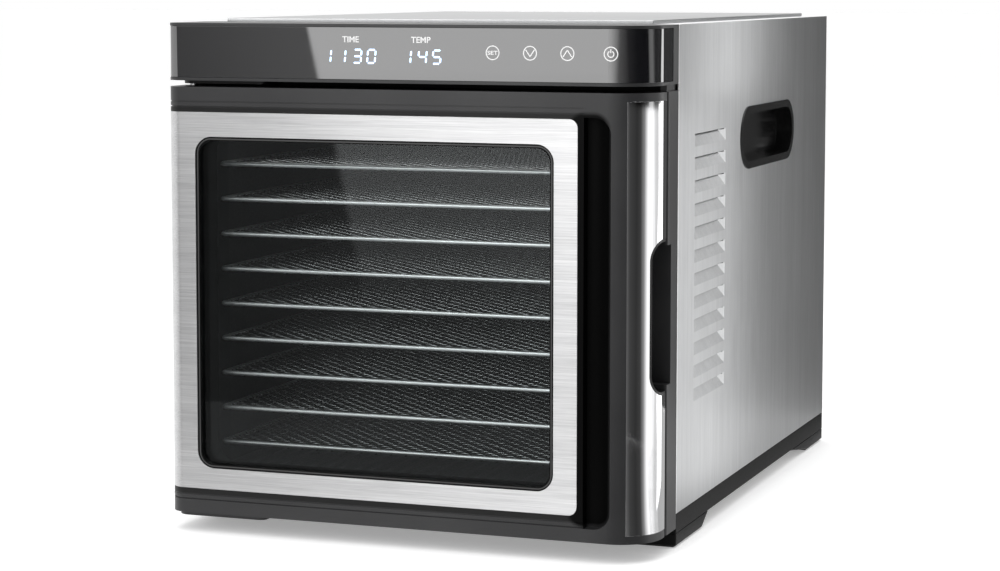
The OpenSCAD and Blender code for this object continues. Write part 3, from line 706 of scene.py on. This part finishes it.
build_trays()
build_drip_tray()
build_numerals()
build_key_symbols()
build_label("label_time", "TIME", -36.2 * MM, GLASS_MID + 9.6 * MM, 12.2 * MM, 4.1 * MM)
build_label("label_temp", "TEMP", 15.3 * MM, GLASS_MID + 9.6 * MM, 14.2 * MM, 4.1 * MM)
build_label("label_set", "SET", SET_KEY, KEY_LEVEL, 7.3 * MM, 2.7 * MM)


# ---------------------------------------------------------------- stage, light, camera
def stage_piece(name, shape, material, location=(0, 0, 0)):
    """A piece of the studio, which isn't part of the object."""
    obj = bpy.data.objects.new(name, shape.mesh(name, False))
    bpy.context.scene.collection.objects.link(obj)
    obj.location = location
    obj.data.materials.append(material)
    return obj


def glow_card(name, shape, strength, location=(0, 0, 0)):
    """A glowing card that only shows in reflections. strength is a float, or a function of its graph."""
    g = Graph(name)
    glow = g.add("ShaderNodeEmission")
    if isinstance(strength, float):
        glow.inputs["Strength"].default_value = strength
    else:
        g.link(strength(g), glow.inputs["Strength"])
    g.link(glow.outputs[0], g.out.inputs["Surface"])
    card = stage_piece(name, shape, g.material, location)
    card.visible_camera = False
    card.visible_diffuse = False
    card.visible_transmission = False
    card.visible_shadow = False


def flat(points):
    """One face through these points."""
    shape = Shape()
    shape.points = [Vector(p) for p in points]
    shape.faces = [tuple(range(len(points)))]
    return shape


CARD_FOOT, MAT_HEIGHT = 0.001, 0.0008


def reflection_card(name, start, end, top, strength, foot=CARD_FOOT):
    """An upright studio card, from one floor point to another."""
    (x0, y0), (x1, y1) = start, end
    glow_card(name, flat([(x0, y0, foot), (x1, y1, foot), (x1, y1, top), (x0, y0, top)]), strength)


def reflection_floor(name, points, strength):
    """A studio card that lies just above the floor."""
    glow_card(name, flat([(x, y, MAT_HEIGHT) for x, y in points]), strength)


def azimuth_ramp(tree, vector, levels):
    """A brightness round +Z, from pairs of azimuth in degrees (from +X towards +Y) and level."""
    turn = tree.nodes.new("ShaderNodeTexGradient")
    turn.gradient_type = "RADIAL"
    ramp = tree.nodes.new("ShaderNodeValToRGB")
    tree.links.new(vector, turn.inputs["Vector"])
    tree.links.new(turn.outputs["Fac"], ramp.inputs["Fac"])
    while len(ramp.color_ramp.elements) < len(levels):
        ramp.color_ramp.elements.new(0.5)
    for element, (azimuth, level) in zip(ramp.color_ramp.elements, levels):
        element.position = azimuth / 360 + 0.5
        element.color = (level, level, level, 1)
    return ramp.outputs["Color"]


# The rounded corner's axis, and the azimuths in degrees that its curved cards cover.
CORNER = (0.149, -0.227, 0)
CORNER_START, CORNER_END, CORNER_STEP = -106, 38, 4


def corner_row(z, share=1.0):
    """Points round the front right corner, from close to it at share 0 to the curved wall at share 1."""
    nearest, start_reach, end_reach = 0.04, 0.55, 0.42
    row = []
    for azimuth in range(CORNER_START, CORNER_END + 1, CORNER_STEP):
        along = (azimuth - CORNER_START) / (CORNER_END - CORNER_START)
        wall = start_reach + along * (end_reach - start_reach)
        reach = nearest + share * (wall - nearest)
        turn = math.radians(azimuth)
        row.append((reach * math.cos(turn), reach * math.sin(turn), z))
    return row


def corner_card(name, rows, levels):
    """A card round the front right corner, its glow set by azimuth."""
    shape = Shape()
    shape.grid(rows)
    glow_card(name, shape, lambda g: azimuth_ramp(g.tree, g.place(), levels), CORNER)


def softbox(name, at, aim, size, power):
    """A rectangular lamp, aimed at a point."""
    lamp = bpy.data.lights.new(name, "AREA")
    lamp.shape = "RECTANGLE"
    lamp.size, lamp.size_y = size
    lamp.energy = power
    obj = bpy.data.objects.new(name, lamp)
    bpy.context.scene.collection.objects.link(obj)
    obj.location = at
    obj.rotation_euler = (Vector(aim) - Vector(at)).to_track_quat("-Z", "Y").to_euler()
    obj.visible_camera = False


def window_glow(g):
    """A dim card with a brighter window shape on it, which has one slanted edge."""
    slant = 0.2
    lean = g.add("ShaderNodeMath", operation="MULTIPLY_ADD")
    lean.inputs[1].default_value = slant
    g.link(g.part("Z"), lean.inputs[0])
    g.link(g.part("X"), lean.inputs[2])
    inside = g.span(lean.outputs[0], 0, 1, -0.2245, -0.2205)
    outside_glow = g.span(lean.outputs[0], 0.18, 0.3, -0.36, -0.24)
    inside_glow = g.span(g.part("Z"), 0.3, 1.75, 0.1, 0.31)
    glow = g.add("ShaderNodeMix", data_type="FLOAT")
    g.link(inside, glow.inputs["Factor"])
    g.link(outside_glow, glow.inputs["A"])
    g.link(inside_glow, glow.inputs["B"])
    return glow.outputs["Result"]


def strip_glow(g):
    """A long light over the front card, dimmer at its left end."""
    return g.span(g.part("X"), 1.9, 2.7, -0.46, -0.33)


# Pairs of azimuth in degrees and level. The chrome strip mirrors the low ones, and the curve of the
# control glass the high ones.
CORNER_LOW = [
    (-106, 0.25), (-92, 0.35), (-78, 0.16), (-60, 0.16), (-50, 0.06), (-33, 0.035),
    (-21, 0.06), (-12, 0.28), (-6, 0.8), (-1, 1.3), (16, 1.3), (25, 0.8), (38, 0.75),
]
CORNER_HIGH = [
    (-106, 1.6), (-100, 1.5), (-93, 1.15), (-78, 0.33), (-55, 0.05), (-33, 0.0),
    (-2, 0.0), (3, 0.5), (12, 0.6), (18, 0.2), (24, 0.05), (38, 0.1),
]
WORLD = [
    (-180, 0.75), (-150, 0.6), (-125, 0.25), (-112, 0.45), (-104, 1.1), (-90, 1.0), (-64, 0.5),
    (-56, 0.10), (-18, 0.10), (-8, 0.5), (0, 1.25), (50, 1.1), (62, 0.75), (78, 0.6),
    (90, 1.0), (140, 1.0), (179, 0.75),
]
CORNER_SPLIT, CORNER_TOP = 0.285, 0.6
FRONT, FAR_LEFT = -0.757, -0.75
FLAG_START, FLAG_TURN, FLAG_END = (0.19, 0.36), (0.46, 0.36), (0.66, 0.02)
MAT_EDGE = (0.085, -0.43)

reflection_card("front_card", (FAR_LEFT, FRONT), (-0.005, FRONT), 0.40, window_glow)
corner_card("corner_wall_low", [corner_row(CARD_FOOT), corner_row(CORNER_SPLIT)], CORNER_LOW)
corner_card("corner_wall_high", [corner_row(CORNER_SPLIT), corner_row(CORNER_TOP)], CORNER_HIGH)
reflection_floor("near_mat", [
    (FAR_LEFT, MAT_EDGE[1]), MAT_EDGE, (0.135, -0.265), (FAR_LEFT, -0.262)], 1.1)
reflection_floor("far_mat", [
    (FAR_LEFT, FRONT), (-0.003, FRONT), MAT_EDGE, (FAR_LEFT, MAT_EDGE[1])], 0.4)
corner_card("corner_mat", [corner_row(MAT_HEIGHT, 0.0), corner_row(MAT_HEIGHT)], CORNER_LOW)
reflection_floor("side_mat", [
    (0.185, -0.22), (0.55, -0.22), (0.60, 0.10), (0.46, 0.355), (0.185, 0.355)], 0.5)
reflection_card("strip_light", (FAR_LEFT, FRONT), (-0.02, FRONT), 0.74, strip_glow, 0.43)
reflection_card("side_flag", FLAG_START, FLAG_TURN, 0.6, 0.08)
reflection_card("rear_flag", FLAG_TURN, FLAG_END, 0.6, 0.08)
reflection_card("side_card", (0.30, -0.130), (0.30, 0.025), 0.30, 1.9)
reflection_card("side_card_high", (0.30, -0.065), (0.30, 0.06), 0.46, 2.4, 0.30)

ground = Graph("floor")
PALE, WIDE = (0.86, 0.86, 0.86, 1), 30
ground.set(Base_Color=PALE, Roughness=0.6, Emission_Color=PALE, Emission_Strength=0.37)
floor_corners = [(-WIDE, -WIDE, 0), (WIDE, -WIDE, 0), (WIDE, WIDE, 0), (-WIDE, WIDE, 0)]
stage_piece("floor", flat(floor_corners), ground.material)

world = bpy.data.worlds.new("studio")
bpy.context.scene.world = world
world.use_nodes = True
tree = world.node_tree
tree.nodes.clear()
where = tree.nodes.new("ShaderNodeTexCoord")
back = tree.nodes.new("ShaderNodeBackground")
sky_out = tree.nodes.new("ShaderNodeOutputWorld")
tree.links.new(azimuth_ramp(tree, where.outputs["Generated"], WORLD), back.inputs["Color"])
tree.links.new(back.outputs[0], sky_out.inputs["Surface"])
back.inputs["Strength"].default_value = 1.0

softbox("key_top", (0.3, -0.3, 2.2), (0, 0, 0.2), (2.2, 2.2), 30)
softbox("front_left", (-0.15, -1.7, 1.25), (0, -0.2, 0.2), (0.6, 1.5), 12)
softbox("chamber_lamp", (0, -0.192, 0.287), (0, -0.08, 0.03), (0.30, 0.012), 0.02)

# The focal length over the picture's width, and where the camera stands and how it is turned.
FOCAL_WIDTHS = 2.587106
EYE = (0.66116, -1.88443, 0.38905)
YAW, PITCH, ROLL = 0.347156, 0.086494, 0.000628

camera_data = bpy.data.cameras.new("camera")
camera = bpy.data.objects.new("camera", camera_data)
bpy.context.scene.collection.objects.link(camera)
bpy.context.scene.camera = camera
camera_data.sensor_width = 36
camera_data.lens = FOCAL_WIDTHS * camera_data.sensor_width
camera_data.shift_y = -0.08
camera.location = EYE
camera.rotation_mode = "QUATERNION"
camera.rotation_quaternion = (
    Euler((0, 0, YAW)).to_quaternion() @ Euler((math.pi / 2 - PITCH, 0, 0)).to_quaternion()
    @ Euler((0, 0, ROLL)).to_quaternion()
)
bpy.context.scene.view_settings.view_transform = "Standard"
